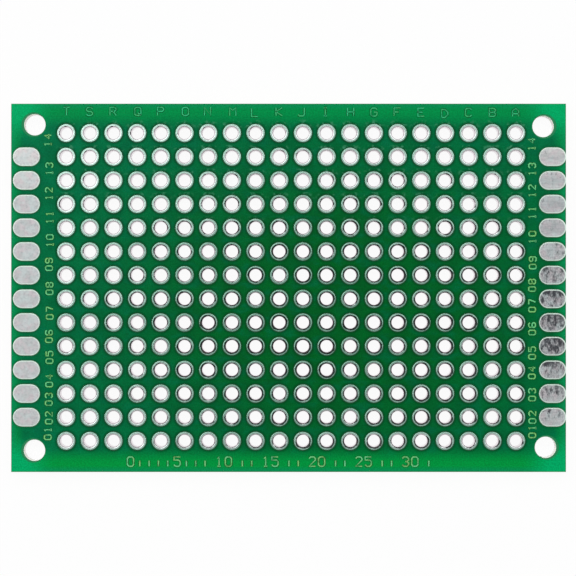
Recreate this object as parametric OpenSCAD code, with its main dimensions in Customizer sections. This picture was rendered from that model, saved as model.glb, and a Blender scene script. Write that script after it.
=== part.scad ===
// Double-sided prototype board: a drilled laminate with plated-through lead
// holes, pads along both short edges, and a solder mask on each face.
// X runs along the board to the right, Y to the back, Z up out of the
// lettered face. The origin is the middle of the outline, on the plane that
// the board rests on.

/* [Board] */
// Length of the board, along X
board_l = 59.5; // [20:0.1:80]
// Width of the board, along Y
board_w = 39.5; // [16:0.1:60]
// Thickness of the bare laminate
board_t = 1.6; // [0.6:0.1:3.2]
// How far the artwork sits to the right of the outline's middle
art_shift_x = 0.1; // [-0.2:0.01:0.2]
// How far the artwork sits behind the outline's middle
art_shift_y = 0.09; // [-0.2:0.01:0.2]

/* [Lead holes] */
// Distance from one lead hole to the next
pitch = 2.54; // [2.2:0.01:5.08]
// Least distance from a short edge to the middle of the nearest column
end_margin = 5.2; // [5:0.1:6]
// Least distance from a long edge to the middle of the nearest row
side_margin = 3; // [2.8:0.1:4]
// How far the grid sits to the right of the artwork's middle
grid_shift = 0.17; // [-0.2:0.01:0.2]
// Bore of a lead hole, inside its plating
lead_hole_d = 1.3; // [0.8:0.02:1.4]
// Wall of the plated barrel
plating_t = 0.05; // [0.03:0.005:0.08]
// Gap between a barrel and the drilled wall round it
barrel_gap = 0.02; // [0.01:0.005:0.03]
// Outer diameter of the ring round a lead hole
ring_d = 1.94; // [1.9:0.02:2.2]
// Rounding where the barrel turns out onto its ring
lip_r = 0.14; // [0.09:0.01:0.15]

/* [Edge pads] */
// Length of a pad on a short edge, along X
edge_pad_l = 2.9; // [2.2:0.05:3.1]
// Width of a pad on a short edge, along Y
edge_pad_w = 2; // [1.2:0.05:2.1]
// Gap from a pad's outer end to the outline, before the artwork's shift
edge_pad_inset = 0.075; // [-0.1:0.025:0.2]

/* [Copper and mask] */
// Height of rings and pads above the laminate
copper_t = 0.08; // [0.07:0.005:0.1]
// Rounding of the upper outer edge of rings and pads
shoulder_r = 0.05; // [0.02:0.01:0.06]
// Thickness of the solder mask
mask_t = 0.025; // [0.015:0.005:0.04]
// Gap from a ring or a pad to the mask round it
mask_gap = 0.07; // [0.03:0.01:0.1]

/* [Corner holes] */
// Bore of a corner hole, which has no plating
corner_hole_d = 2.3; // [2:0.1:2.8]
// From a corner hole's middle to both of its edges
corner_inset = 2.4; // [2.1:0.05:2.6]
// Width of the ring that the mask leaves bare round a corner hole
corner_relief = 0.17; // [0.05:0.01:0.25]
// How much nearer to the board's end a bare ring sits than its hole
relief_outset = 0.1; // [0:0.02:0.14]

/* [Hidden] */
// Straight steps in the rounding of a lip and of a shoulder
lip_steps = 4;
shoulder_steps = 3;
// How far each corner hole's drill ran off, front left, front right, back left
// and back right
corner_drift = [[-0.01, -0.17], [0.11, 0.15], [0.03, 0.06], [-0.15, -0.13]];

$fn = 64;
// As many lettered columns and numbered rows as the board has room for
columns = floor((board_l - 2 * end_margin) / pitch) + 1;
rows = floor((board_w - 2 * side_margin) / pitch) + 1;
art_shift = [art_shift_x, art_shift_y];
grid_origin = art_shift + [grid_shift, 0];
barrel_d = lead_hole_d + 2 * plating_t;
drill_d = barrel_d + 2 * barrel_gap;
under_z = copper_t;
upper_z = under_z + board_t;
edge_pad_x = board_l / 2 - edge_pad_inset - edge_pad_l / 2;
corner_x = board_l / 2 - corner_inset;
corner_y = board_w / 2 - corner_inset;

function column_x(column) = (column - (columns + 1) / 2) * pitch;
function row_y(row) = (row - (rows + 1) / 2) * pitch;
function row_node(row) = str("plated_holes_row_", row < 10 ? "0" : "", row);
function arc(centre, r, from, to, steps) =
    [for (i = [0:steps])
        let (a = from + (to - from) * i / steps)
            centre + r * [cos(a), sin(a)]];
function reverse(points) = [for (i = [len(points) - 1:-1:0]) points[i]];
function flipped(points) = [for (p = reverse(points)) [p.x, -p.y]];

// Where things sit on the board

module at_corners(outset = 0) {
    for (back = [0, 1], right = [0, 1])
        translate(art_shift + corner_drift[2 * back + right]
                  + [(2 * right - 1) * (corner_x + outset),
                     (2 * back - 1) * corner_y])
            children();
}

module at_lead_holes() {
    for (row = [1:rows], column = [1:columns])
        translate(grid_origin + [column_x(column), row_y(row)])
            children();
}

// The corner holes take the place of a pad at both ends of a short edge
module at_edge_pads(side) {
    for (row = [2:rows - 1])
        translate(art_shift + [side * edge_pad_x, row_y(row)])
            children();
}

// Flat shapes

module outline() {
    square([board_l, board_w], center = true);
}

module obround(length, width) {
    straight = length - width;
    square([straight, width], center = true);
    for (end = [-1, 1])
        translate([end * straight / 2, 0])
            circle(d = width);
}

module corner_drillings() {
    at_corners()
        circle(d = corner_hole_d);
}

// Laminate

module laminate_core() {
    color("#c8cf9a")
        translate([0, 0, under_z])
            linear_extrude(board_t)
                difference() {
                    outline();
                    corner_drillings();
                    at_lead_holes()
                        circle(d = drill_d);
                }
}

// Solder mask, which stops short of every ring, pad and corner hole

module mask_sheet() {
    linear_extrude(mask_t)
        difference() {
            outline();
            corner_drillings();
            at_corners(outset = relief_outset)
                circle(d = corner_hole_d + 2 * corner_relief);
            at_lead_holes()
                circle(d = ring_d + 2 * mask_gap);
            for (side = [-1, 1])
                at_edge_pads(side)
                    obround(edge_pad_l + 2 * mask_gap, edge_pad_w + 2 * mask_gap);
        }
}

module solder_mask_top() {
    color("#087a45")
        translate([0, 0, upper_z])
            mask_sheet();
}

module solder_mask_bottom() {
    color("#087a45")
        translate([0, 0, under_z - mask_t])
            mask_sheet();
}

// Edge pads: an obround of tinned copper with its upper edge rounded off

module edge_pad() {
    half_w = edge_pad_w / 2;
    straight = edge_pad_l - edge_pad_w;
    shoulder = arc([half_w - shoulder_r, copper_t - shoulder_r], shoulder_r,
                   0, 90, shoulder_steps);
    for (end = [-1, 1])
        translate([end * straight / 2, 0, 0])
            rotate([0, 0, -90 * end])
                rotate_extrude(angle = 180)
                    polygon(concat([[0, 0], [half_w, 0]], shoulder, [[0, copper_t]]));
    rotate([90, 0, 90])
        linear_extrude(straight, center = true)
            polygon(concat([[-half_w, 0], [half_w, 0]], shoulder,
                           [for (p = reverse(shoulder)) [-p.x, p.y]]));
}

// A pad that runs over the outline was cut off with the board
module edge_pads(side) {
    color("#b9bbb8")
        intersection() {
            at_edge_pads(side)
                edge_pad();
            linear_extrude(copper_t)
                outline();
        }
}

module edge_pads_top(side) {
    translate([0, 0, upper_z])
        edge_pads(side);
}

module edge_pads_bottom(side) {
    translate([0, 0, under_z])
        mirror([0, 0, 1])
            edge_pads(side);
}

// Plated holes: a barrel whose two ends turn outwards onto a ring, all one
// skin of tinned copper that wraps the drilled wall and both faces round it

module plated_hole() {
    bore_r = lead_hole_d / 2;
    ring_r = ring_d / 2;
    face_z = board_t / 2;
    top_z = face_z + copper_t;
    lip = arc([bore_r + lip_r, top_z - lip_r], lip_r, 90, 180, lip_steps);
    shoulder = arc([ring_r - shoulder_r, top_z - shoulder_r], shoulder_r,
                   0, 90, shoulder_steps);
    seat = [[barrel_d / 2, face_z], [ring_r, face_z]];
    upper_half = concat(seat, shoulder, lip);
    rotate_extrude()
        polygon(concat(upper_half, flipped(upper_half)));
}

module plated_hole_row(row) {
    color("#cfd3cf")
        for (column = [1:columns])
            translate(concat(grid_origin, under_z + board_t / 2)
                      + [column_x(column), row_y(row), 0])
                plated_hole();
}

laminate_core();
solder_mask_top();
solder_mask_bottom();
edge_pads_top(-1);  // edge_pads_left_top
edge_pads_top(1);  // edge_pads_right_top
edge_pads_bottom(-1);  // edge_pads_left_bottom
edge_pads_bottom(1);  // edge_pads_right_bottom
for (row = [1:rows])
    plated_hole_row(row);
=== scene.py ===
import logging
from dataclasses import dataclass, field
from enum import Enum
from math import radians, tau

import bmesh
import bpy
from mathutils import Matrix, Vector


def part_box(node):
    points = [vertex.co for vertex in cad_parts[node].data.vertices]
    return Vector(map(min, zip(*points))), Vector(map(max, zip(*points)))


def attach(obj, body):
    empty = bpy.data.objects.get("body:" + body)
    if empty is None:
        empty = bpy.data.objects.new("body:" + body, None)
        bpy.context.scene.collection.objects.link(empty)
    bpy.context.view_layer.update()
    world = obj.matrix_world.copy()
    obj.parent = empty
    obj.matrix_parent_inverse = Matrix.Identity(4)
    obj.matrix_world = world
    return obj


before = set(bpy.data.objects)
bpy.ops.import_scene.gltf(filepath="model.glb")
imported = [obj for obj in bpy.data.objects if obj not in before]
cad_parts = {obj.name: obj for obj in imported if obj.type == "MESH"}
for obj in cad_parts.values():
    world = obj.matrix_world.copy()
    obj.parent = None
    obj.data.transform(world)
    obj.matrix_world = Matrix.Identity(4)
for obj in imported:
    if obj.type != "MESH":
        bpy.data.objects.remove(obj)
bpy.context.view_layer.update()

log = logging.getLogger("prototype_board")
Colour = tuple[float, float, float, float]
Socket = bpy.types.NodeSocket
MM = 0.001
NOISE_ROUGHNESS = 0.6


class Slot(Enum):
    """The record's material slots that the new pieces take."""

    LAMINATE = "laminate"
    MASK = "green_mask"


class Reading(Enum):
    """How a line of lettering is turned on the board, in degrees."""

    UPRIGHT = 0
    UPWARDS = 90


class Side(Enum):
    """A short edge of the board, as the nodes' names give it."""

    LEFT = "left"
    RIGHT = "right"


class Face(Enum):
    """A face of the board, as the nodes' names give it."""

    TOP = "top"
    BOTTOM = "bottom"


def srgb(red: int, green: int, blue: int) -> Colour:
    """Turn a colour from 0 to 255 into the linear values that a socket takes.

    Args:
        red: Red, 0 to 255.
        green: Green, 0 to 255.
        blue: Blue, 0 to 255.

    Returns:
        The linear colour, with an alpha of 1.
    """
    def linear(value: int) -> float:
        """Turn one channel."""
        share = value / 255
        return share / 12.92 if share <= 0.04045 else ((share + 0.055) / 1.055) ** 2.4

    return (linear(red), linear(green), linear(blue), 1.0)


def add_object(name: str, data: bpy.types.ID) -> bpy.types.Object:
    """Add an object to the scene.

    Args:
        name: The object's name.
        data: Its mesh, curve, lamp or camera.

    Returns:
        The object, at the origin.
    """
    added = bpy.data.objects.new(name, data)
    bpy.context.scene.collection.objects.link(added)
    return added


def row_node(row: int) -> str:
    """Return the name of the node with a row's plated holes."""
    return f"plated_holes_row_{row:02d}"


def pads_node(side: Side, face: Face) -> str:
    """Return the name of the node with an edge's pads on one face."""
    return f"edge_pads_{side.value}_{face.value}"


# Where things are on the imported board


@dataclass(frozen=True)
class BoardPlan:
    """Places on the board in metres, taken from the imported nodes."""

    rows: int = 14
    columns: int = 20
    ring_r: float = 0.97 * MM
    pad_l: float = 2.9 * MM
    pad_w: float = 2.0 * MM
    first_pad_row: int = 2

    @property
    def pads(self) -> int:
        """How many pads an edge has: corner holes take the place of one at both ends."""
        return self.rows - 2

    def row_box(self, row: int) -> tuple[Vector, Vector]:
        """Return the lowest and highest corners of a row of plated holes."""
        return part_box(row_node(row))

    def row_y(self, row: int) -> float:
        """Return the Y of a row's hole centres."""
        low, high = self.row_box(row)
        return (low.y + high.y) / 2

    @property
    def first_x(self) -> float:
        """The X of the left column's hole centres."""
        return self.row_box(1)[0].x + self.ring_r

    @property
    def pitch(self) -> float:
        """The distance from one hole to the next."""
        low, high = self.row_box(1)
        return (high.x - low.x - 2 * self.ring_r) / (self.columns - 1)

    @property
    def mask_z(self) -> float:
        """The upper surface of the mask on the lettered face."""
        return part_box("solder_mask_top")[1].z

    @property
    def half_size(self) -> tuple[float, float]:
        """Half the length and half the width of the laminate."""
        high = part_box("laminate_core")[1]
        return high.x, high.y


# Finishes


@dataclass(frozen=True)
class Span:
    """A smooth change: the values where it starts and ends, and what they become."""

    low: float
    high: float
    to_low: float = 0.0
    to_high: float = 1.0


@dataclass(frozen=True)
class Blotches:
    """A noise pattern."""

    # The size of a blotch in metres, and how many finer layers it has
    size: float
    detail: float = 3.0
    # How much longer the blotches are along X, Y and Z
    stretch: tuple[float, float, float] = (1, 1, 1)
    # How far the pattern is moved, in blotches
    shift: float = 0.0


@dataclass(frozen=True)
class Oval:
    """A place on the board, and how far from it along X and along Y counts as 1, in metres."""

    centre: tuple[float, float]
    reach: tuple[float, float]


@dataclass(frozen=True)
class NearestHole:
    """The lead hole nearest to a shaded point."""

    # The point's distance from the hole's middle, and its offset to the right and to the back
    distance: Socket
    across: Socket
    along: Socket
    # The hole's own number between 0 and 1, by which holes differ
    chance: Socket


class Sketch:
    """A material's node tree, with a short call for each node that the finishes use."""

    def __init__(self, name: str) -> None:
        """Start an empty material with its output and its Object coordinates.

        Args:
            name: The material's name.
        """
        self.material = bpy.data.materials.new(name)
        self.material.use_nodes = True
        self.nodes = self.material.node_tree.nodes
        self.links = self.material.node_tree.links
        self.nodes.clear()
        self.output = self.nodes.new("ShaderNodeOutputMaterial")
        self.place = self.nodes.new("ShaderNodeTexCoord").outputs["Object"]

    def join(self, value: object, socket: Socket) -> None:
        """Link a node's output to a socket, or set the socket to a plain value.

        Args:
            value: The output, or the plain value.
            socket: The socket that takes it.
        """
        if isinstance(value, Socket):
            self.links.new(value, socket)
        else:
            socket.default_value = value

    def math(self, operation: str, *values: object, clamp: bool = False) -> Socket:
        """Add a Math node.

        Args:
            operation: The operation's name, such as MULTIPLY.
            *values: Its inputs, in order.
            clamp: Whether the result stays within 0 and 1.

        Returns:
            The result.
        """
        node = self.nodes.new("ShaderNodeMath")
        node.operation = operation
        node.use_clamp = clamp
        for value, socket in zip(values, node.inputs):
            self.join(value, socket)
        return node.outputs[0]

    def product(self, first: object, *others: object) -> Socket:
        """Multiply values, one after the other.

        Args:
            first: The first value.
            *others: The values that it is multiplied by.

        Returns:
            The product.
        """
        for other in others:
            first = self.math("MULTIPLY", first, other)
        return first

    def weighed(self, start: object, *terms: tuple[object, float]) -> Socket:
        """Add values to a start, each times its own weight.

        Args:
            start: The value to start from.
            *terms: The values, each with its weight.

        Returns:
            The sum.
        """
        for value, weight in terms:
            start = self.math("MULTIPLY_ADD", value, weight, start)
        return start

    def length(self, x: object, y: object) -> Socket:
        """Return the length of a flat vector."""
        squares = self.math("ADD", self.product(x, x), self.product(y, y))
        return self.math("SQRT", squares)

    def axes(self, vector: Socket) -> tuple[Socket, ...]:
        """Split a vector.

        Args:
            vector: The vector.

        Returns:
            Its X, Y and Z.
        """
        node = self.nodes.new("ShaderNodeSeparateXYZ")
        self.join(vector, node.inputs[0])
        return tuple(node.outputs)

    def vector(self, x: object, y: object, z: object = 0.0) -> Socket:
        """Join three values into a vector.

        Args:
            x: Its X.
            y: Its Y.
            z: Its Z.

        Returns:
            The vector.
        """
        node = self.nodes.new("ShaderNodeCombineXYZ")
        for value, socket in zip((x, y, z), node.inputs):
            self.join(value, socket)
        return node.outputs[0]

    def noise(self, blotches: Blotches) -> Socket:
        """Add a Noise Texture on Object coordinates.

        Args:
            blotches: The pattern.

        Returns:
            The noise, mostly between 0.25 and 0.75.
        """
        mapping = self.nodes.new("ShaderNodeMapping")
        mapping.inputs["Location"].default_value = (blotches.shift,) * 3
        per_metre = tuple(1 / (blotches.size * longer) for longer in blotches.stretch)
        mapping.inputs["Scale"].default_value = per_metre
        self.join(self.place, mapping.inputs["Vector"])
        node = self.nodes.new("ShaderNodeTexNoise")
        node.inputs["Scale"].default_value = 1.0
        node.inputs["Detail"].default_value = blotches.detail
        node.inputs["Roughness"].default_value = NOISE_ROUGHNESS
        self.join(mapping.outputs[0], node.inputs["Vector"])
        return node.outputs[0]

    def span(self, value: object, span: Span) -> Socket:
        """Change a value smoothly, and hold it at either end of the span.

        Args:
            value: The value.
            span: The change.

        Returns:
            The changed value.
        """
        node = self.nodes.new("ShaderNodeMapRange")
        node.interpolation_type = "SMOOTHSTEP"
        numbers = (value, span.low, span.high, span.to_low, span.to_high)
        for number, socket in zip(numbers, node.inputs):
            self.join(number, socket)
        return node.outputs[0]

    def mix(self, share: object, first: object, second: object) -> Socket:
        """Mix two colours.

        Args:
            share: How much of the second one.
            first: The first colour.
            second: The second colour.

        Returns:
            The mixed colour.
        """
        node = self.nodes.new("ShaderNodeMix")
        node.data_type = "RGBA"
        node.clamp_result = True
        # The sockets that a Mix node has for colours
        for value, socket in zip((share, first, second), (0, 6, 7)):
            self.join(value, node.inputs[socket])
        return node.outputs[2]

    def ramp(self, share: object, *stops: tuple[float, Colour]) -> Socket:
        """Add a Color Ramp.

        Args:
            share: The value that picks the colour.
            *stops: Places from 0 to 1, each with its colour.

        Returns:
            The colour.
        """
        node = self.nodes.new("ShaderNodeValToRGB")
        elements = node.color_ramp.elements
        while len(elements) < len(stops):
            elements.new(1.0)
        for element, (place, colour) in zip(elements, stops):
            element.position = place
            element.color = colour
        self.join(share, node.inputs[0])
        return node.outputs[0]

    def bump(self, height: Socket, depth: float, strength: float = 1.0) -> Socket:
        """Add a Bump node.

        Args:
            height: The height, from 0 to 1.
            depth: What a height of 1 stands for, in metres.
            strength: How much of it shows.

        Returns:
            The bumped normal.
        """
        node = self.nodes.new("ShaderNodeBump")
        node.inputs["Strength"].default_value = strength
        node.inputs["Distance"].default_value = depth
        self.join(height, node.inputs["Height"])
        return node.outputs[0]

    def finish(self, **sockets: object) -> bpy.types.Material:
        """Add the Principled shader, with sockets by name, and return the material.

        Args:
            **sockets: Values for the shader, with _ for each space in a socket's name.

        Returns:
            The material.
        """
        shader = self.nodes.new("ShaderNodeBsdfPrincipled")
        for name, value in sockets.items():
            self.join(value, shader.inputs[name.replace("_", " ")])
        self.links.new(shader.outputs[0], self.output.inputs[0])
        return self.material

    def nearest(self, value: Socket, start: float, pitch: float,
                last: int) -> tuple[Socket, Socket]:
        """Find the nearest place of a row of evenly spaced places.

        Args:
            value: The coordinate along the row.
            start: Where the first place is.
            pitch: From one place to the next.
            last: The last place's number, with the first one at 0.

        Returns:
            The nearest place's number, and how far past it the coordinate is.
        """
        steps = self.math("DIVIDE", self.math("SUBTRACT", value, start), pitch)
        place = self.math("MINIMUM", self.math("MAXIMUM", self.math("ROUND", steps), 0), last)
        return place, self.product(self.math("SUBTRACT", steps, place), pitch)

    def hole(self, plan: BoardPlan) -> NearestHole:
        """Find the nearest lead hole.

        Args:
            plan: The board's places.

        Returns:
            The hole, as seen from the shaded point.
        """
        x, y, _ = self.axes(self.place)
        column, across = self.nearest(x, plan.first_x, plan.pitch, plan.columns - 1)
        row, along = self.nearest(y, plan.row_y(1), plan.pitch, plan.rows - 1)
        chance = self.nodes.new("ShaderNodeTexWhiteNoise")
        chance.noise_dimensions = "2D"
        self.join(self.vector(column, row), chance.inputs["Vector"])
        return NearestHole(self.length(across, along), across, along, chance.outputs["Value"])

    def past_pad(self, plan: BoardPlan) -> Socket:
        """Return how far behind the middle of the nearest edge pad a point is, in metres."""
        _, y, _ = self.axes(self.place)
        return self.nearest(y, plan.row_y(plan.first_pad_row), plan.pitch, plan.pads - 1)[1]

    def pad_distance(self, plan: BoardPlan) -> Socket:
        """Measure how far a point is from the middle line of the nearest edge pad.

        Args:
            plan: The board's places.

        Returns:
            The distance, in metres.
        """
        x, _, _ = self.axes(self.place)
        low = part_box(pads_node(Side.LEFT, Face.TOP))[0].x
        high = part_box(pads_node(Side.RIGHT, Face.TOP))[1].x
        middle, reach = (low + high) / 2, (high - low - plan.pad_l) / 2
        from_middle = self.math("ABSOLUTE", self.math("SUBTRACT", x, middle))
        off = self.math("ABSOLUTE", self.math("SUBTRACT", from_middle, reach))
        straight = (plan.pad_l - plan.pad_w) / 2
        past = self.math("MAXIMUM", self.math("SUBTRACT", off, straight), 0.0)
        return self.length(past, self.past_pad(plan))

    def off(self, oval: Oval) -> Socket:
        """Return how far a point is from the middle of an oval, in the oval's reaches."""
        x, y, _ = self.axes(self.place)
        return self.length(*(self.math("DIVIDE", self.math("SUBTRACT", value, middle), far)
                             for value, middle, far in zip((x, y), oval.centre, oval.reach)))

    def edge_distances(self, plan: BoardPlan) -> tuple[Socket, ...]:
        """Return how far a point is from the nearest short edge and from the nearest long one."""
        x, y, _ = self.axes(self.place)
        return tuple(self.math("SUBTRACT", half, self.math("ABSOLUTE", value))
                     for value, half in zip((x, y), plan.half_size))


@dataclass(frozen=True)
class MaskFinish:
    """Glossy green solder mask over glass cloth, with painted light: paler where light comes in at
    the edges, and darker in the middle as painted shade.
    """

    # The field's green, from its middle outwards, with painted shade that darkens the middle
    middle: Colour = srgb(0, 106, 40)
    around: Colour = srgb(0, 126, 78)
    field_oval: Oval = Oval((6 * MM, -3 * MM), (28 * MM, 20 * MM))
    outwards: Span = Span(0.25, 1.5)
    # Blotches in the field
    teal: Colour = srgb(0, 122, 86)
    teal_blotches: Blotches = Blotches(1.7 * MM, 2.0, (1.4, 0.8, 1), 4)
    teal_share: Span = Span(0.45, 0.7, 0.0, 0.4)
    # Dark green of the blotches, the cloth and the grain, and also of the painted shade round rings
    # and pads
    shade: Colour = srgb(0, 50, 22)
    shade_blotches: Blotches = Blotches(2.4 * MM, 2.0)
    shade_share: Span = Span(0.35, 0.7, 0.0, 0.24)
    # Painted light: paler bands along the edges, by the distance from them, and at the corners,
    # where light comes in through the laminate
    band: Colour = srgb(0, 156, 80)
    side_band: Span = Span(2.8 * MM, 0.8 * MM)
    end_band: Span = Span(1.5 * MM, 0.3 * MM, 0.0, 0.75)
    front: Colour = srgb(0, 165, 70)
    to_front: Span = Span(-14 * MM, -18 * MM)
    rim: Colour = srgb(8, 156, 94)
    rim_band: Span = Span(0.75 * MM, 0.15 * MM, 0.0, 0.85)
    sawn_band: Span = Span(0.1 * MM, 0.02 * MM, 0.0, 0.4)
    corner: Colour = srgb(0, 188, 112)
    corner_from_end: Span = Span(5 * MM, 0)
    corner_from_side: Span = Span(4.5 * MM, 0)
    corner_gain: float = 1.5
    # Painted shade round rings and pads, by the distance from their middles
    ring_shade: Span = Span(1.36 * MM, 1.04 * MM, 0.0, 0.5)
    pad_shade: Span = Span(1.4 * MM, 1.02 * MM, 0.0, 0.3)
    # Painted highlights: pale arcs behind the rings of the back rows
    sheen: Colour = srgb(84, 172, 132)
    sheen_blotches: Blotches = Blotches(0.55 * MM, shift=21)
    sheen_share: Span = Span(0.5, 0.68)
    sheen_reach: Span = Span(1.55 * MM, 1.2 * MM)
    sheen_behind: Span = Span(0.4 * MM, 1.0 * MM)
    sheen_rows: Span = Span(4 * MM, 13 * MM, 0.0, 0.55)
    # Glass cloth under the mask, fine grain, and the gloss
    cloth_pitch: float = 0.3 * MM
    cloth_share: Span = Span(-0.8, 0.8, 0.2, 0.0)
    grain: Blotches = Blotches(0.13 * MM, 2.0, shift=17)
    grain_share: Span = Span(0.35, 0.65, 0.0, 0.3)
    ripples: Blotches = Blotches(0.9 * MM, 2.0, shift=7)
    cloth_ripple: float = 0.12
    ripple_depth: float = 0.02 * MM
    roughness: Span = Span(0.3, 0.7, 0.24, 0.34)
    gloss: float = 0.03

    def greens(self, s: Sketch, blotch: Socket) -> Socket:
        """Colour the field in its blotched greens, with painted shade in its middle.

        Args:
            s: The material's sketch.
            blotch: The noise of the dark blotches.

        Returns:
            The colour.
        """
        # Painted shade: the field darkens towards the board's middle
        colour = s.mix(s.span(s.off(self.field_oval), self.outwards), self.middle, self.around)
        colour = s.mix(s.span(s.noise(self.teal_blotches), self.teal_share), colour, self.teal)
        return s.mix(s.span(blotch, self.shade_share), colour, self.shade)

    def edges(self, s: Sketch, colour: Socket, to_end: Socket, to_side: Socket) -> Socket:
        """Paint light into the colour, paler along the edges and at the corners.

        Args:
            s: The material's sketch.
            colour: The colour so far.
            to_end: The distance from the nearest short edge.
            to_side: The distance from the nearest long edge.

        Returns:
            The colour.
        """
        _, y, _ = s.axes(s.place)
        # Painted light: pale bands along the edges, yellower at the front, a pale rim and pale
        # corners
        band = s.math("MAXIMUM", s.span(to_side, self.side_band), s.span(to_end, self.end_band))
        colour = s.mix(band, colour, s.mix(s.span(y, self.to_front), self.band, self.front))
        colour = s.mix(s.span(s.math("MINIMUM", to_end, to_side), self.rim_band), colour, self.rim)
        corner = s.product(s.span(to_end, self.corner_from_end),
                           s.span(to_side, self.corner_from_side))
        corner = s.math("MULTIPLY", corner, self.corner_gain, clamp=True)
        return s.mix(corner, colour, self.corner)

    def surrounds(self, s: Sketch, plan: BoardPlan, colour: Socket) -> Socket:
        """Paint shade round rings and pads, and lay painted highlights as pale arcs behind the
        rings at the back.

        Args:
            s: The material's sketch.
            plan: The board's places.
            colour: The colour so far.

        Returns:
            The colour.
        """
        _, y, _ = s.axes(s.place)
        hole = s.hole(plan)
        # Painted shade: the mask darkens round each ring and each pad
        dark = s.math("MAXIMUM", s.span(hole.distance, self.ring_shade),
                      s.span(s.pad_distance(plan), self.pad_shade))
        colour = s.mix(dark, colour, self.shade)
        # Painted highlight: pale arcs on the mask behind the back rows' rings
        sheen = s.product(s.span(s.noise(self.sheen_blotches), self.sheen_share),
                          s.span(hole.distance, self.sheen_reach),
                          s.span(hole.along, self.sheen_behind),
                          s.span(y, self.sheen_rows))
        return s.mix(sheen, colour, self.sheen)

    def make(self, plan: BoardPlan) -> bpy.types.Material:
        """Build the material.

        Args:
            plan: The board's places.

        Returns:
            The mask's material.
        """
        s = Sketch("green_solder_mask")
        x, y, _ = s.axes(s.place)
        to_end, to_side = s.edge_distances(plan)
        blotch = s.noise(self.shade_blotches)
        colour = self.edges(s, self.greens(s, blotch), to_end, to_side)
        colour = self.surrounds(s, plan, colour)
        sawn = s.span(s.math("MINIMUM", to_end, to_side), self.sawn_band)
        colour = s.mix(sawn, colour, self.shade)
        threads = (s.math("SINE", s.product(s.math(way, x, y), tau / self.cloth_pitch))
                   for way in ("ADD", "SUBTRACT"))
        weave = s.product(*threads)
        colour = s.mix(s.span(weave, self.cloth_share), colour, self.shade)
        colour = s.mix(s.span(s.noise(self.grain), self.grain_share), colour, self.shade)
        ripple = s.weighed(s.noise(self.ripples), (weave, self.cloth_ripple))
        return s.finish(
            Base_Color=colour,
            Roughness=s.span(blotch, self.roughness),
            Specular_IOR_Level=self.gloss,
            Normal=s.bump(ripple, self.ripple_depth),
        )


@dataclass(frozen=True)
class LaminateFinish:
    """Bare glass epoxy: pale and layered on the sawn walls, painted white as painted light on the
    walls of the corner holes, and dark in the gaps of the mask, where it is bare laminate with
    painted shade.
    """

    # Walls: cloth in resin at the sawn edges, and the walls of the corner holes, painted pure white
    # as painted light that stands in for light glowing through them
    resin: Colour = srgb(186, 190, 132)
    glass: Colour = srgb(222, 222, 186)
    drilled: Colour = srgb(255, 255, 250)
    layers: int = 8
    layer_share: float = 0.25
    fibres: Blotches = Blotches(0.16 * MM, 4.0, (2.5, 2.5, 0.5))
    inside: Span = Span(0.02 * MM, 0.1 * MM)
    # Faces, bare in the gaps of the mask and darkened with painted shade from the mask's edge:
    # round rings, round pads and round corner holes
    gap: Colour = srgb(32, 86, 56)
    pad_gap: Colour = srgb(34, 104, 70)
    relief: Colour = srgb(26, 128, 80)
    pad_reach: Span = Span(1.3 * MM, 1.2 * MM)
    corner_reach: Span = Span(4.3 * MM, 4 * MM)
    face_depth: Span = Span(0.497, 0.499)
    roughness: Span = Span(0.3, 0.7, 0.5, 0.75)
    gloss: float = 0.3
    fibre_depth: float = 0.03 * MM
    fibre_strength: float = 0.6

    def make(self, plan: BoardPlan) -> bpy.types.Material:
        """Build the material.

        Args:
            plan: The board's places.

        Returns:
            The laminate's material.
        """
        s = Sketch("glass_epoxy_laminate")
        low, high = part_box("laminate_core")
        _, _, z = s.axes(s.place)
        to_end, to_side = s.edge_distances(plan)
        depth = s.math("DIVIDE", s.math("SUBTRACT", z, low.z), high.z - low.z)
        cloth = s.math("SINE", s.product(depth, tau * self.layers))
        fibre = s.noise(self.fibres)
        layered = s.math("MULTIPLY_ADD", cloth, self.layer_share, fibre, clamp=True)
        wall = s.mix(layered, self.resin, self.glass)
        # Painted light: the walls of the corner holes are pure white
        wall = s.mix(s.span(s.math("MINIMUM", to_end, to_side), self.inside), wall, self.drilled)
        at_corner = s.product(s.span(to_end, self.corner_reach), s.span(to_side, self.corner_reach))
        # Painted shade: the bare faces in the mask's gaps are dark green
        face = s.mix(s.span(s.pad_distance(plan), self.pad_reach), self.gap, self.pad_gap)
        face = s.mix(at_corner, face, self.relief)
        on_face = s.span(s.math("ABSOLUTE", s.math("SUBTRACT", depth, 0.5)), self.face_depth)
        return s.finish(
            Base_Color=s.mix(on_face, wall, face),
            Roughness=s.span(fibre, self.roughness),
            Specular_IOR_Level=self.gloss,
            Normal=s.bump(fibre, self.fibre_depth, self.fibre_strength),
        )


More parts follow.
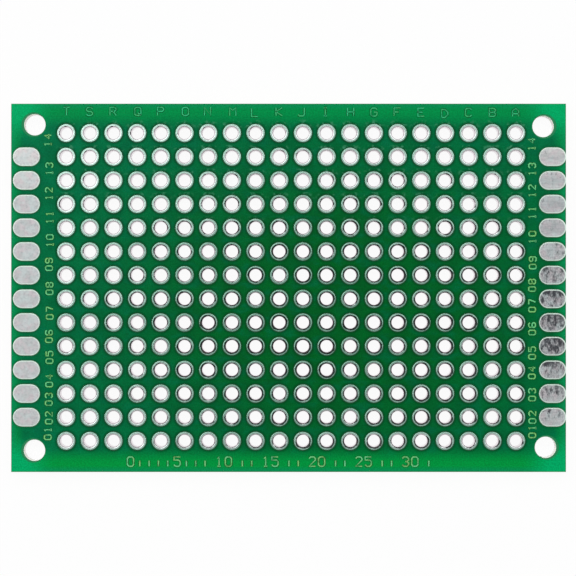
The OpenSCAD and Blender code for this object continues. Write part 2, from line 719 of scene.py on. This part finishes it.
@dataclass(frozen=True)
class PlatedHoleFinish:
    """Tinned copper: rings with painted shade near the board's middle and painted reflection far
    from it, lips with painted dark crescents, and pale barrels.
    """

    # Ring, its rim and the lip in lit and shaded copies: painted reflection makes them brighter far
    # from the board's middle, and painted shade darkens them near it
    tin: Colour = srgb(170, 202, 190)
    dull: Colour = srgb(108, 146, 132)
    rim: Colour = srgb(172, 212, 196)
    dull_rim: Colour = srgb(154, 200, 180)
    rim_place: Span = Span(0.86 * MM, 0.93 * MM)
    lip: Colour = srgb(224, 226, 226)
    dull_lip: Colour = srgb(160, 168, 165)
    lip_place: Span = Span(0.84 * MM, 0.77 * MM)
    dull_oval: Oval = Oval((-1 * MM, -2 * MM), (29 * MM, 20 * MM))
    dull_by_hole: float = 0.3
    dull_blotches: Blotches = Blotches(5 * MM, 1.0, shift=3)
    dull_by_blotch: float = 0.5
    bright_from: Span = Span(0.55, 1.5)
    # Barrel, by the depth under either end
    barrel: Colour = srgb(236, 228, 232)
    barrel_depth: Span = Span(0.03 * MM, 0.08 * MM)
    # Painted shade: dark crescents on the lip, where they are, and what each thing adds to them
    crescent: Colour = srgb(16, 20, 18)
    dark_oval: Oval = Oval((6 * MM, -5 * MM), (55 * MM, 30 * MM))
    dark_reach: float = 0.65
    dark_start: float = 0.22
    dark_blotches: Blotches = Blotches(0.62 * MM, shift=9)
    dark_by_blotch: float = 0.9
    dark_by_hole: float = 0.24
    dark_by_across: float = 0.0065 / MM ** 2
    dark_by_along: float = 0.013 / MM ** 2
    dark_by_side: float = 0.19 / MM
    dark_lip_r: float = 0.74 * MM
    dark_by_ring: float = -2.8 / MM
    dark_edge: Span = Span(0.62, 0.74)
    dark_depth: Span = Span(-40 * MM, -22 * MM, 0.4, 0.95)
    dark_depth_by_y: float = 1.2
    dark_bore: Span = Span(0.65 * MM, 0.685 * MM)
    # Flux stains, on some holes
    flux: Colour = srgb(112, 98, 94)
    flux_blotches: Blotches = Blotches(0.42 * MM, 4.0, shift=11)
    flux_share: Span = Span(0.56, 0.68)
    flux_holes: Span = Span(0.5, 0.95, 0.02, 0.4)
    # Gloss
    grain: Blotches = Blotches(0.2 * MM, 4.0)
    grain_depth: float = 0.01 * MM
    roughness: Span = Span(0.3, 0.7, 0.2, 0.34)
    metallic: float = 0.92

    def crescents(self, s: Sketch, hole: NearestHole) -> Socket:
        """Work out where the lip gets its painted shade.

        Crescents are most frequent a little in front of the board's middle and rarest at the back
        left, and lie on the side of the hole that is away from the board's middle.

        Args:
            s: The material's sketch.
            hole: The nearest lead hole.

        Returns:
            How dark the lip is, from 0 to 1.
        """
        x, y, _ = s.axes(s.place)
        far = s.math("MINIMUM", s.off(self.dark_oval), self.dark_reach)
        past_lip = s.math("MAXIMUM", s.math("SUBTRACT", hole.distance, self.dark_lip_r), 0.0)
        dark = s.weighed(
            self.dark_start,
            (s.product(far, far), -1),
            (s.noise(self.dark_blotches), self.dark_by_blotch),
            (hole.chance, self.dark_by_hole),
            (s.product(hole.across, x), self.dark_by_across),
            (s.product(hole.along, y), self.dark_by_along),
            (s.math("ABSOLUTE", hole.across), self.dark_by_side),
            (past_lip, self.dark_by_ring),
        )
        depth = s.span(s.weighed(x, (y, self.dark_depth_by_y)), self.dark_depth)
        return s.product(s.span(dark, self.dark_edge), depth, s.span(hole.distance, self.dark_bore))

    def make(self, plan: BoardPlan) -> bpy.types.Material:
        """Build the material.

        Args:
            plan: The board's places.

        Returns:
            The plated holes' material.
        """
        s = Sketch("tinned_plated_holes")
        low, high = plan.row_box(1)
        _, _, z = s.axes(s.place)
        hole = s.hole(plan)
        grain = s.noise(self.grain)
        # Painted reflection and shade: the tin goes from its shaded copy near the board's middle to
        # its lit copy far from it
        off = s.weighed(s.off(self.dull_oval), (hole.chance, self.dull_by_hole),
                        (s.noise(self.dull_blotches), self.dull_by_blotch))
        lit = s.span(off, self.bright_from)
        ring, rim, lip = (s.mix(lit, *pair) for pair in (
            (self.dull, self.tin), (self.dull_rim, self.rim), (self.dull_lip, self.lip)))
        tin = s.mix(s.span(hole.distance, self.rim_place), ring, rim)
        tin = s.mix(s.span(hole.distance, self.lip_place), tin, lip)
        from_middle = s.math("ABSOLUTE", s.math("SUBTRACT", z, (low.z + high.z) / 2))
        under = s.math("SUBTRACT", (high.z - low.z) / 2, from_middle)
        tin = s.mix(s.span(under, self.barrel_depth), tin, self.barrel)
        # Painted shade: dark crescents on the lip where the barrel wall is in shadow
        tin = s.mix(self.crescents(s, hole), tin, self.crescent)
        stain = s.product(s.span(s.noise(self.flux_blotches), self.flux_share),
                          s.span(hole.chance, self.flux_holes))
        tin = s.mix(stain, tin, self.flux)
        return s.finish(
            Base_Color=tin,
            Metallic=self.metallic,
            Roughness=s.span(grain, self.roughness),
            Normal=s.bump(grain, self.grain_depth),
        )


@dataclass(frozen=True)
class EdgePadFinish:
    """Dull tin of the edge pads: mottled, pale along the rim, and worn on the right edge."""

    # Tin from the front row to the back one, its pale rim and its tints
    front: Colour = srgb(192, 196, 196)
    middle: Colour = srgb(186, 190, 190)
    middle_places: tuple[float, float] = (0.45, 0.8)
    back: Colour = srgb(212, 212, 210)
    rim: Colour = srgb(222, 244, 230)
    rim_place: Span = Span(0.84 * MM, 0.95 * MM, 0.0, 0.85)
    pink: Colour = srgb(214, 196, 202)
    pink_blotches: Blotches = Blotches(0.9 * MM, 2.0, shift=5)
    pink_share: Span = Span(0.42, 0.62, 0.0, 0.45)
    cool: Colour = srgb(198, 212, 212)
    cool_blotches: Blotches = Blotches(1.0 * MM, 2.0, shift=8)
    cool_share: Span = Span(0.45, 0.62, 0.0, 0.5)
    mottle: Blotches = Blotches(0.3 * MM, 4.0)
    mottle_share: Span = Span(0.42, 0.72, 0.0, 0.24)
    mottle_depth: float = 0.012 * MM
    roughness: Span = Span(0.3, 0.7, 0.38, 0.55)
    metallic: float = 0.45
    # How worn the right pads are, from the front row at 0 to the back row at 1
    wear: tuple[tuple[float, float], ...] = (
        (0.0, 0.3), (0.1, 0.55), (0.28, 0.95), (0.45, 0.9), (0.56, 0.68), (0.66, 0.25), (1.0, 0.08))
    # Scratches along the pads, and a band of them in the back rows
    scratch: Colour = srgb(112, 120, 128)
    scratches: Blotches = Blotches(0.22 * MM, 3.0, (6, 0.5, 1), 13)
    scratch_share: Span = Span(0.42, 0.64, 0.0, 0.24)
    band_place: Span = Span(0.8 * MM, 0.1 * MM)
    band_rows: Span = Span(0.6, 0.75, 0.0, 0.18)
    # Graphite rubbed in, and dark smears
    graphite: Colour = srgb(60, 66, 78)
    rubs: Blotches = Blotches(0.1 * MM, 3.0, (0.6, 1.8, 1), 15)
    rub_edge: Span = Span(0.4, 0.65)
    rub_share: float = 0.6
    smear: Colour = srgb(24, 28, 38)
    smears: Blotches = Blotches(0.5 * MM, 5.0, (0.62, 1.3, 1), 2)
    smear_by_past: float = 0.09 / MM
    smear_by_wear: float = 0.26
    smear_share: Span = Span(0.62, 0.86, 0.0, 0.92)
    smear_place: Span = Span(0.97 * MM, 0.82 * MM)

    def worn(self, s: Sketch, plan: BoardPlan, tin: Socket, along: Socket,
             distance: Socket) -> Socket:
        """Streak, scratch and smear the tin of the right pads.

        Args:
            s: The material's sketch.
            plan: The board's places.
            tin: The clean tin.
            along: Where the point is between the front row and the back one, from 0 to 1.
            distance: How far it is from the middle line of its pad.

        Returns:
            The worn tin.
        """
        past = s.past_pad(plan)
        greys = ((place, (share, share, share, 1)) for place, share in self.wear)
        wear, _, _ = s.axes(s.ramp(along, *greys))
        band = s.product(s.span(s.math("ABSOLUTE", past), self.band_place),
                         s.span(along, self.band_rows))
        tin = s.mix(band, tin, self.scratch)
        tin = s.mix(s.span(s.noise(self.scratches), self.scratch_share), tin, self.scratch)
        rubbed = s.product(s.span(s.noise(self.rubs), self.rub_edge), wear, self.rub_share)
        tin = s.mix(rubbed, tin, self.graphite)
        smear = s.weighed(s.noise(self.smears), (past, self.smear_by_past),
                          (wear, self.smear_by_wear))
        smear = s.product(s.span(smear, self.smear_share), s.span(distance, self.smear_place))
        return s.mix(smear, tin, self.smear)

    def make(self, plan: BoardPlan, side: Side) -> bpy.types.Material:
        """Build the material of one edge's pads.

        Args:
            plan: The board's places.
            side: The short edge that the pads are on.

        Returns:
            The edge pads' material.
        """
        s = Sketch(f"edge_pad_tin_{side.value}")
        low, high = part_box(pads_node(side, Face.TOP))
        _, y, _ = s.axes(s.place)
        along = s.math("DIVIDE", s.math("SUBTRACT", y, low.y), high.y - low.y)
        middle = ((place, self.middle) for place in self.middle_places)
        tin = s.ramp(along, (0.0, self.front), *middle, (1.0, self.back))
        mottle = s.noise(self.mottle)
        tin = s.mix(s.span(s.noise(self.pink_blotches), self.pink_share), tin, self.pink)
        tin = s.mix(s.span(s.noise(self.cool_blotches), self.cool_share), tin, self.cool)
        tin = s.mix(s.span(mottle, self.mottle_share), tin, self.scratch)
        distance = s.pad_distance(plan)
        if side is Side.RIGHT:
            tin = self.worn(s, plan, tin, along, distance)
        tin = s.mix(s.span(distance, self.rim_place), tin, self.rim)
        return s.finish(
            Base_Color=tin,
            Metallic=self.metallic,
            Roughness=s.span(mottle, self.roughness),
            Normal=s.bump(mottle, self.mottle_depth),
        )


@dataclass(frozen=True)
class LegendFinish:
    """Copper lettering under the mask, which shows as a paler green, with painted shade on the dark
    flanks of its strokes.
    """

    name: str
    mint: Colour
    straw: Colour
    flank: Colour = srgb(0, 72, 26)
    tints: Blotches = Blotches(1.1 * MM)
    tint_share: Span = Span(0.35, 0.65)
    fading: Blotches = Blotches(0.4 * MM, shift=6)
    fading_share: Span = Span(0.45, 0.7, 0.0, 0.55)
    # Heights over the mask between which the painted shade on a stroke's flanks gives way to the
    # crest
    crest: tuple[float, float] = (0.007 * MM, 0.011 * MM)
    roughness: Span = Span(0.3, 0.7, 0.28, 0.4)
    gloss: float = 0.03

    def make(self, plan: BoardPlan) -> bpy.types.Material:
        """Build the material.

        Args:
            plan: The board's places.

        Returns:
            The lettering's material.
        """
        s = Sketch(self.name)
        _, _, z = s.axes(s.place)
        tint = s.noise(self.tints)
        crest = s.mix(s.span(tint, self.tint_share), self.mint, self.straw)
        crest = s.mix(s.span(s.noise(self.fading), self.fading_share), crest, self.flank)
        # Painted shade: the strokes' flanks are dark green and only their crests are pale
        rise = s.span(z, Span(*(plan.mask_z + height for height in self.crest)))
        return s.finish(
            Base_Color=s.mix(rise, self.flank, crest),
            Roughness=s.span(tint, self.roughness),
            Specular_IOR_Level=self.gloss,
        )


LETTER_FINISH = LegendFinish(
    "letters_under_mask", mint=srgb(52, 190, 128), straw=srgb(64, 178, 108))
NUMBER_FINISH = LegendFinish(
    "numbers_under_mask", mint=srgb(104, 206, 140), straw=srgb(126, 200, 116))


# Lettering

# Strokes of a plotter's letters: each pair is a point, by its steps to the right and upwards on
# a grid of the size below, and a new stroke starts after each slash
SIGN_GRID = (4, 6)
STROKES = {
    "0": "10 01 05 16 36 45 41 30 10",
    "1": "15 26 20/10 30",
    "2": "05 16 36 45 44 00 40",
    "3": "05 16 36 45 44 33 42 41 30 10 01/23 33",
    "4": "30 36 02 42",
    "5": "46 06 04 34 43 41 30 10 01",
    "6": "45 36 16 05 01 10 30 41 42 33 03",
    "7": "06 46 45 20",
    "8": "13 04 05 16 36 45 44 33 13 02 01 10 30 41 42 33",
    "9": "01 10 30 41 45 36 16 05 04 13 43",
    "A": "00 04 26 44 40/02 42",
    "B": "00 06 36 45 44 33 42 41 30 00/03 33",
    "C": "45 36 16 05 01 10 30 41",
    "D": "00 06 26 44 42 20 00",
    "E": "46 06 00 40/03 33",
    "F": "46 06 00/03 33",
    "G": "45 36 16 05 01 10 30 41 43 23",
    "H": "00 06/40 46/03 43",
    "I": "10 30/16 36/20 26",
    "J": "01 10 30 41 46",
    "K": "00 06/46 03 40",
    "L": "06 00 40",
    "M": "00 06 24 46 40",
    "N": "00 06 40 46",
    "O": "10 01 05 16 36 45 41 30 10",
    "P": "00 06 36 45 44 33 03",
    "Q": "10 01 05 16 36 45 41 30 10/22 40",
    "R": "00 06 36 45 44 33 03/23 40",
    "S": "45 36 16 05 04 13 33 42 41 30 10 01",
    "T": "06 46/20 26",
}


@dataclass
class Lettering:
    """Lines of plotter lettering that stand up a little from the mask, as one mesh."""

    name: str
    stroke_w: float = 0.28 * MM
    rise: float = 0.012 * MM
    lines: list[list[Vector]] = field(default_factory=list)

    def write(self, text: str, middle: tuple[float, float], size: tuple[float, float],
              step: float = 0.0, reading: Reading = Reading.UPRIGHT) -> None:
        """Add a line of text.

        Args:
            text: Letters and figures.
            middle: The middle of the line, in metres.
            size: Width and height of a sign's middle line, in metres.
            step: From one sign to the next, in metres.
            reading: How the line is turned.
        """
        turn = Matrix.Rotation(radians(reading.value), 4, "Z")
        for i, sign in enumerate(text):
            start = Vector(((i - (len(text) - 1) / 2) * step, 0, 0))
            for stroke in STROKES[sign].split("/"):
                points = []
                for pair in stroke.split():
                    x, y = ((int(steps) / whole - 0.5) * length
                            for steps, whole, length in zip(pair, SIGN_GRID, size))
                    points.append(turn @ (start + Vector((x, y, 0))) + Vector((*middle, 0)))
                self.lines.append(points)

    def tick(self, x: float, low_y: float, high_y: float) -> None:
        """Add a straight mark along Y."""
        self.lines.append([Vector((x, low_y, 0)), Vector((x, high_y, 0))])

    def strokes(self) -> bpy.types.Mesh:
        """Make the lines into round strokes.

        Returns:
            The strokes' mesh, half of it under Z 0.
        """
        curve = bpy.data.curves.new(self.name + "_strokes", "CURVE")
        curve.dimensions = "3D"
        curve.bevel_depth = self.stroke_w / 2
        curve.bevel_resolution = 1
        curve.use_fill_caps = True
        for points in self.lines:
            spline = curve.splines.new("POLY")
            spline.points.add(len(points) - 1)
            for target, point in zip(spline.points, points):
                target.co = (*point, 1)
        pen = add_object(self.name + "_pen", curve)
        bpy.context.view_layer.update()
        evaluated = pen.evaluated_get(bpy.context.evaluated_depsgraph_get())
        mesh = bpy.data.meshes.new_from_object(evaluated)
        bpy.data.objects.remove(pen)
        bpy.data.curves.remove(curve)
        return mesh

    def build(self, plan: BoardPlan, material: bpy.types.Material) -> None:
        """Flatten the strokes into one piece that lies on the mask.

        Args:
            plan: The board's places.
            material: The lettering's material.
        """
        mesh = self.strokes()
        flat = self.rise / (self.stroke_w / 2)
        on_mask = Matrix.Translation((0, 0, plan.mask_z))
        mesh.transform(on_mask @ Matrix.Diagonal((1, 1, flat, 1)))
        mesh.name = self.name
        for face in mesh.polygons:
            face.use_smooth = True
        mesh.materials.clear()
        mesh.materials.append(material)
        piece = add_object(self.name, mesh)
        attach(piece, "root")
        log.info("%s: %d strokes, %d faces", self.name, len(self.lines), len(mesh.polygons))


@dataclass
class GridLegend:
    """The grid's letters over its columns and its numbers at both ends of its rows."""

    letters: str = "TSRQPONMLKJIHGFEDCBA"
    letter_size: tuple[float, float] = (0.66 * MM, 0.86 * MM)
    letter_y: float = 18.87 * MM
    # How far each letter sits from its column, to the right and to the back, in mm
    letter_drift: tuple[tuple[float, float], ...] = (
        (0.04, 0.06), (-0.04, 0.05), (-0.05, 0.06), (0.07, 0.05), (-0.03, 0.06),
        (0.09, 0.05), (-0.07, 0.06), (0.09, 0.02), (-0.11, -0.06), (-0.02, 0.02),
        (-0.18, 0.00), (-0.14, 0.02), (0.03, 0.00), (-0.01, -0.02), (-0.05, 0.00),
        (-0.04, -0.03), (-0.03, -0.17), (-0.02, -0.05), (0.00, -0.05), (-0.05, -0.05))
    number_size: tuple[float, float] = (0.48 * MM, 0.72 * MM)
    number_step: float = 0.8 * MM
    # Where each row's number is on the left and on the right, from row 1, in mm
    left: tuple[tuple[float, float], ...] = (
        (-25.83, -15.63), (-25.71, -13.95), (-25.72, -11.96), (-25.68, -9.97), (-25.65, -7.46),
        (-25.70, -5.21), (-25.62, -2.72), (-25.65, -0.08), (-25.70, 2.51), (-25.61, 5.05),
        (-25.63, 7.54), (-25.71, 10.09), (-25.67, 12.75), (-25.83, 15.83))
    right: tuple[tuple[float, float], ...] = (
        (26.13, -15.43), (26.15, -13.88), (26.12, -11.47), (26.09, -9.10), (26.12, -6.99),
        (26.12, -4.39), (26.12, -1.93), (26.12, 0.27), (26.19, 2.68), (26.15, 5.41),
        (26.12, 8.05), (26.12, 10.38), (26.12, 12.71), (26.07, 15.39))

    def build(self, plan: BoardPlan, for_letters: bpy.types.Material,
              for_numbers: bpy.types.Material) -> None:
        """Make the letters and the numbers.

        Args:
            plan: The board's places.
            for_letters: The letters' material.
            for_numbers: The numbers' material.
        """
        letters = Lettering("column_letters")
        for i, (letter, (right, back)) in enumerate(zip(self.letters, self.letter_drift)):
            middle = (plan.first_x + i * plan.pitch + right * MM, self.letter_y + back * MM)
            letters.write(letter, middle, self.letter_size)
        letters.build(plan, for_letters)
        for side, places in ((Side.LEFT, self.left), (Side.RIGHT, self.right)):
            numbers = Lettering(f"row_numbers_{side.value}")
            for row, (x, y) in enumerate(places, 1):
                numbers.write(f"{row:02d}", (x * MM, y * MM), self.number_size,
                              self.number_step, Reading.UPWARDS)
            numbers.build(plan, for_numbers)


@dataclass
class EdgeScale:
    """A plain millimetre scale along the front edge, with ticks where its figures leave room."""

    start_x: float = -16.96 * MM
    length: int = 32
    middle_y: float = -18.64 * MM
    size: tuple[float, float] = (0.66 * MM, 1.0 * MM)
    figure_step: float = 1.0 * MM
    tick_h: float = 0.6 * MM
    # A number at every fifth millimetre, and ticks between: two past each number, and more
    # beside the numbers of one figure
    number_every: int = 5
    ticks_past: tuple[int, ...] = (2, 3)
    more_ticks: tuple[int, ...] = (1, 4, 6)

    def build(self, plan: BoardPlan, material: bpy.types.Material) -> None:
        """Make the scale.

        Args:
            plan: The board's places.
            material: The lettering's material.
        """
        scale = Lettering("edge_scale")
        foot = self.middle_y - self.size[1] / 2
        for step in range(self.length + 1):
            x = self.start_x + step * MM
            past = step % self.number_every
            if past == 0:
                scale.write(str(step), (x, self.middle_y), self.size, self.figure_step)
            elif past in self.ticks_past or step in self.more_ticks:
                scale.tick(x, foot, foot + self.tick_h)
        scale.build(plan, material)


@dataclass
class DrillBurr:
    """The torn flake that the drill left in the front right corner hole."""

    place: tuple[float, float] = (27.07 * MM, -18.18 * MM)
    size: tuple[float, float, float] = (0.24 * MM, 0.12 * MM, 0.04 * MM)
    under_mask: float = 0.06 * MM
    turn: float = -0.45
    # Each of its points goes in or out by up to this share, as its number times the stride says
    raggedness: float = 0.16
    stride: int = 37
    reach: int = 5

    def build(self, plan: BoardPlan, material: bpy.types.Material) -> None:
        """Make the flake.

        Args:
            plan: The board's places.
            material: The laminate's material.
        """
        bm = bmesh.new()
        bmesh.ops.create_icosphere(bm, subdivisions=2, radius=1.0)
        for vert in bm.verts:
            out = (vert.index * self.stride) % (2 * self.reach + 1) - self.reach
            vert.co *= 1 + self.raggedness * out / self.reach
        middle = (*self.place, plan.mask_z - self.under_mask)
        bmesh.ops.scale(bm, vec=self.size, verts=bm.verts)
        bmesh.ops.rotate(bm, matrix=Matrix.Rotation(self.turn, 3, "Z"), verts=bm.verts)
        bmesh.ops.translate(bm, vec=middle, verts=bm.verts)
        mesh = bpy.data.meshes.new("corner_hole_burr")
        bm.to_mesh(mesh)
        bm.free()
        mesh.materials.append(material)
        piece = add_object("corner_hole_burr", mesh)
        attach(piece, "root")
        log.info("corner_hole_burr: %d faces", len(mesh.polygons))


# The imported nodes


@dataclass
class PackedBoard:
    """The board's own solids, which keep their shape and get their finishes here."""

    plan: BoardPlan

    def dress(self, node: str, material: bpy.types.Material) -> None:
        """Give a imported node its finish.

        Args:
            node: The node's name.
            material: Its material.
        """
        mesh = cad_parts[node].data
        mesh.materials.clear()
        mesh.materials.append(material)
        log.info("%s: %s", node, material.name)

    def finish(self, laminate: bpy.types.Material) -> None:
        """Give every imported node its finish.

        Args:
            laminate: The laminate's material.
        """
        self.dress("laminate_core", laminate)
        mask = MaskFinish().make(self.plan)
        holes = PlatedHoleFinish().make(self.plan)
        for face in Face:
            self.dress(f"solder_mask_{face.value}", mask)
        for side in Side:
            tin = EdgePadFinish().make(self.plan, side)
            for face in Face:
                self.dress(pads_node(side, face), tin)
        for row in range(1, self.plan.rows + 1):
            self.dress(row_node(row), holes)


# Studio


@dataclass(frozen=True)
class Panel:
    """A square light panel that faces down: its place and side in metres, and its watts."""

    name: str
    place: tuple[float, float, float]
    side: float
    power: float

    def hang(self) -> None:
        """Add the panel to the scene."""
        data = bpy.data.lights.new(self.name, "AREA")
        data.size = self.side
        data.energy = self.power
        add_object(self.name, data).location = self.place


@dataclass
class Studio:
    """The floor, the light and the camera that looks straight down."""

    camera_place: tuple[float, float] = (-0.063 * MM, -0.018 * MM)
    camera_above: float = 240 * MM
    view_w: float = 61.77 * MM
    # The camera's sensor, in mm, and the nearest that it sees, in metres
    sensor_w: float = 36
    sees_from: float = 0.01
    # The floor's half side, its paper, and how much of it is plain white to the eye
    floor_half: float = 1.5
    paper: Colour = srgb(245, 245, 245)
    whiteness: float = 0.93
    sky: float = 0.5
    white: Colour = (1, 1, 1, 1)
    panels: tuple[Panel, ...] = (
        Panel("key_panel", (-0.66, 0.6, 0.9), 1.2, 8.0),
        Panel("fill_panel", (0.7, 0.62, 0.9), 1.1, 5.2),
    )

    def floor(self) -> None:
        """Lay the white floor, which keeps a soft shadow."""
        bm = bmesh.new()
        bmesh.ops.create_grid(bm, x_segments=1, y_segments=1, size=self.floor_half)
        mesh = bpy.data.meshes.new("studio_floor")
        bm.to_mesh(mesh)
        bm.free()
        s = Sketch("white_floor")
        paper = s.nodes.new("ShaderNodeBsdfDiffuse")
        paper.inputs["Color"].default_value = self.paper
        glow = s.nodes.new("ShaderNodeEmission")
        glow.inputs["Strength"].default_value = 1.0
        rays = s.nodes.new("ShaderNodeLightPath").outputs
        seen = s.math("MAXIMUM", rays["Is Camera Ray"], rays["Is Glossy Ray"])
        seen = s.math("MAXIMUM", seen, rays["Is Transmission Ray"])
        mixed = s.nodes.new("ShaderNodeMixShader")
        shares = (s.product(seen, self.whiteness), paper.outputs[0], glow.outputs[0])
        for value, socket in zip(shares, mixed.inputs):
            s.join(value, socket)
        s.join(mixed.outputs[0], s.output.inputs[0])
        mesh.materials.append(s.material)
        add_object("studio_floor", mesh)

    def world(self) -> None:
        """Set the plain white surroundings, which look whiter than the light they give."""
        world = bpy.data.worlds.new("studio_world")
        bpy.context.scene.world = world
        world.use_nodes = True
        nodes, links = world.node_tree.nodes, world.node_tree.links
        nodes.clear()
        path = nodes.new("ShaderNodeLightPath")
        mixed = nodes.new("ShaderNodeMixShader")
        output = nodes.new("ShaderNodeOutputWorld")
        links.new(path.outputs["Is Camera Ray"], mixed.inputs[0])
        for strength, socket in ((self.sky, mixed.inputs[1]), (1.0, mixed.inputs[2])):
            background = nodes.new("ShaderNodeBackground")
            background.inputs["Color"].default_value = self.white
            background.inputs["Strength"].default_value = strength
            links.new(background.outputs[0], socket)
        links.new(mixed.outputs[0], output.inputs[0])

    def camera(self, plan: BoardPlan) -> None:
        """Set the camera over the board.

        Args:
            plan: The board's places.
        """
        data = bpy.data.cameras.new("camera")
        data.sensor_width = self.sensor_w
        data.lens = self.sensor_w * self.camera_above / self.view_w
        data.clip_start = self.sees_from
        camera = add_object("camera", data)
        camera.location = (*self.camera_place, plan.row_box(1)[1].z + self.camera_above)
        bpy.context.scene.camera = camera

    def build(self, plan: BoardPlan) -> None:
        """Set up the whole studio.

        Args:
            plan: The board's places.
        """
        self.camera(plan)
        self.floor()
        self.world()
        for panel in self.panels:
            panel.hang()
        bpy.context.scene.view_settings.view_transform = "Standard"


def main() -> None:
    """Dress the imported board, letter it and set up the studio."""
    logging.basicConfig(level=logging.INFO, format="%(name)s: %(message)s")
    plan = BoardPlan()
    Studio().build(plan)
    laminate = LaminateFinish().make(plan)
    PackedBoard(plan).finish(laminate)
    for_letters = LETTER_FINISH.make(plan)
    for_numbers = NUMBER_FINISH.make(plan)
    GridLegend().build(plan, for_letters, for_numbers)
    EdgeScale().build(plan, for_numbers)
    DrillBurr().build(plan, laminate)


if __name__ == "__main__":
    main()
